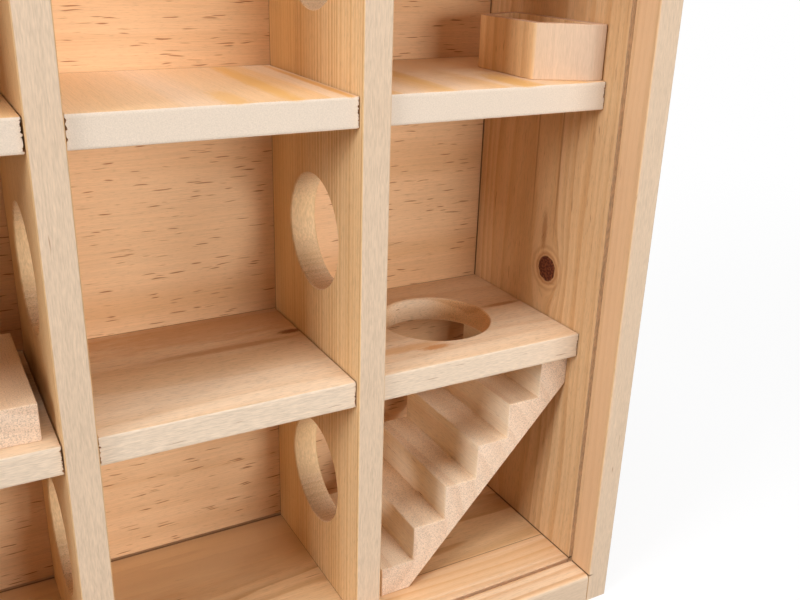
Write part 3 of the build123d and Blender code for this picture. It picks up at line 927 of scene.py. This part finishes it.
class TOWER_OT_stage(bpy.types.Operator):
    """Floor, lights and camera"""
    bl_idname = "tower.stage"
    bl_label = "Studio"

    def execute(self, context):
        scene = context.scene
        stage = scene.tower_stage
        bm = bmesh.new()
        bmesh.ops.create_grid(bm, x_segments=1, y_segments=1, size=3.0)
        mesh = bpy.data.meshes.new("studio_floor")
        bm.to_mesh(mesh)
        bm.free()
        floor = bpy.data.objects.new("studio_floor", mesh)
        scene.collection.objects.link(floor)
        paper = bpy.data.materials.new("studio_paper")
        paper.use_nodes = True
        tree = paper.node_tree
        skin = tree.nodes["Principled BSDF"]
        feed(tree, skin.inputs["Base Color"], blend(tree, seen_directly(tree), stage.floor_colour, srgb(250, 250, 250)))
        skin.inputs["Roughness"].default_value = 0.9
        glow = put(tree, "ShaderNodeEmission")
        glow.inputs["Strength"].default_value = 1.0
        glow.inputs["Color"].default_value = (1.0, 1.0, 1.0, 1.0)
        away = vector_calc(tree, "LENGTH", put(tree, "ShaderNodeTexCoord").outputs["Object"])
        white = calc(tree, "MULTIPLY", seen_directly(tree), between(tree, away, 0.4, 1.2, 0.8, 1.0))
        mix = put(tree, "ShaderNodeMixShader")
        for socket, value in zip(mix.inputs, (white, skin.outputs[0], glow.outputs[0])):
            feed(tree, socket, value)
        feed(tree, tree.nodes["Material Output"].inputs["Surface"], mix.outputs[0])
        mesh.materials.append(paper)

        world = bpy.data.worlds.new("studio_room")
        scene.world = world
        world.use_nodes = True
        tree = world.node_tree
        tree.nodes.clear()
        lit = put(tree, "ShaderNodeBackground")
        lit.inputs["Strength"].default_value = stage.room_light
        white = put(tree, "ShaderNodeBackground")
        white.inputs["Strength"].default_value = 1.0
        for background in (lit, white):
            background.inputs["Color"].default_value = (1.0, 1.0, 1.0, 1.0)
        mix = put(tree, "ShaderNodeMixShader")
        for socket, value in zip(mix.inputs, (seen_directly(tree), lit.outputs[0], white.outputs[0])):
            feed(tree, socket, value)
        feed(tree, put(tree, "ShaderNodeOutputWorld").inputs["Surface"], mix.outputs[0])

        for name, power, place, width, height in (
            ("front_light", stage.front_power, (0.27, -1.57, 0.38), 0.33, 0.33),
            ("window_light", stage.window_power, (0.73, -1.45, 0.45), 0.68, 0.4),
            ("top_light", stage.top_power, (0.04, -0.34, 1.45), 0.98, 0.57),
            ("left_light", stage.left_power, (-1.2, -0.42, 0.65), 0.44, 0.44),
            ("back_light", stage.back_power, (0.8, 1.3, 0.9), 0.8, 0.8),
        ):
            lamp = bpy.data.lights.new(name, "AREA")
            lamp.energy = power
            lamp.shape = "RECTANGLE"
            lamp.size = width
            lamp.size_y = height
            light = bpy.data.objects.new(name, lamp)
            light.location = place
            aim = Vector(LIGHT_AIM) - Vector(place)
            light.rotation_euler = aim.to_track_quat("-Z", "Y").to_euler()
            scene.collection.objects.link(light)

        lens = bpy.data.cameras.new("photo_camera")
        lens.sensor_width = 36.0
        lens.sensor_fit = "HORIZONTAL"
        lens.lens = stage.camera_lens
        lens.clip_start = 0.01
        camera = bpy.data.objects.new("photo_camera", lens)
        camera.location = stage.camera_place
        camera.rotation_euler = stage.camera_turn
        scene.collection.objects.link(camera)
        scene.camera = camera
        scene.view_settings.view_transform = "Standard"
        return {"FINISHED"}


def seen_directly(tree):
    """One for what the camera sees itself or in gloss or glass, else zero."""
    ray = put(tree, "ShaderNodeLightPath").outputs
    return calc(tree, "MAXIMUM", ray["Is Camera Ray"],
                calc(tree, "MAXIMUM", ray["Is Glossy Ray"], ray["Is Transmission Ray"]))


class TOWER_PT_panel(bpy.types.Panel):
    """The tower's pieces and its studio"""
    bl_idname = "TOWER_PT_panel"
    bl_label = "Hamster play tower"
    bl_space_type = "VIEW_3D"
    bl_region_type = "UI"
    bl_category = "Tower"

    def draw(self, context):
        scene = context.scene
        for group in (scene.tower_pine, scene.tower_shape, scene.tower_stage):
            box = self.layout.box()
            for name in group.bl_rna.properties.keys():
                if name not in ("rna_type", "name"):
                    box.prop(group, name)
        for operator in OPERATORS:
            self.layout.operator(operator.bl_idname)


OPERATORS = (
    TOWER_OT_side_panels, TOWER_OT_dividers, TOWER_OT_shelves, TOWER_OT_base, TOWER_OT_top_boards,
    TOWER_OT_back_panel, TOWER_OT_stairs, TOWER_OT_feed_dish, TOWER_OT_fasteners, TOWER_OT_stage,
)
CLASSES = (TowerPine, TowerShape, TowerStage, *OPERATORS, TOWER_PT_panel)


def register():
    for cls in CLASSES:
        bpy.utils.register_class(cls)
    bpy.types.Scene.tower_pine = bpy.props.PointerProperty(type=TowerPine)
    bpy.types.Scene.tower_shape = bpy.props.PointerProperty(type=TowerShape)
    bpy.types.Scene.tower_stage = bpy.props.PointerProperty(type=TowerStage)


def unregister():
    del bpy.types.Scene.tower_stage
    del bpy.types.Scene.tower_shape
    del bpy.types.Scene.tower_pine
    for cls in reversed(CLASSES):
        bpy.utils.unregister_class(cls)


def main():
    register()
    for operator in OPERATORS:
        area, name = operator.bl_idname.split(".")
        getattr(getattr(bpy.ops, area), name)()
    bpy.context.view_layer.update()


if __name__ == "__main__":
    main()
